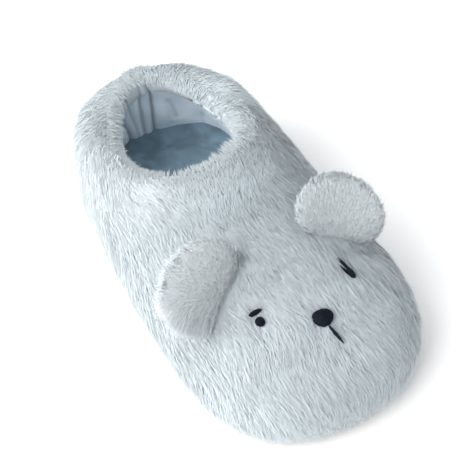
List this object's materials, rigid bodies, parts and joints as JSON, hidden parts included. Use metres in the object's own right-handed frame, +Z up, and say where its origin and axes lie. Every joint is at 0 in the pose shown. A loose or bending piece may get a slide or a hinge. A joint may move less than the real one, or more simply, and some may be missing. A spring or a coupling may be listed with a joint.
{
  "type": "animal slipper",
  "caption": "Closed-back plush house slipper for the right foot, with a round bear-like face and padded ears on the toe, a rolled collar, padded footbed and treaded sole.",
  "frame": {"origin": "on the floor, under the middle of the slipper's bounding box", "axes": "+Z up; the toe points along -Y and the heel along +Y; +X is the inner side of this right-foot slipper"},
  "size_m": [0.1418, 0.2688, 0.0978],
  "materials": {
    "plush_fur": "short soft plush, pale blue grey, matte with a faint sheen at the tips",
    "ear_fur": "short soft plush, slightly paler than the body",
    "lining_satin": "pale blue brushed velour lining with a soft sheen",
    "footbed_cloth": "slate blue velvety cloth",
    "face_thread": "near-black satin stitch",
    "sole_rubber": "matte moulded rubber, blue grey"
  },
  "bodies": {
    "root": {"upper": "plush_fur", "outsole": "sole_rubber", "insole": "footbed_cloth", "ear_inner": "ear_fur", "ear_outer": "ear_fur", "nose": "face_thread", "mouth_line": "face_thread", "eye_inner": "face_thread", "eye_outer": "face_thread", "lash_inner": "face_thread", "lash_outer": "face_thread"}
  },
  "joints": []
}
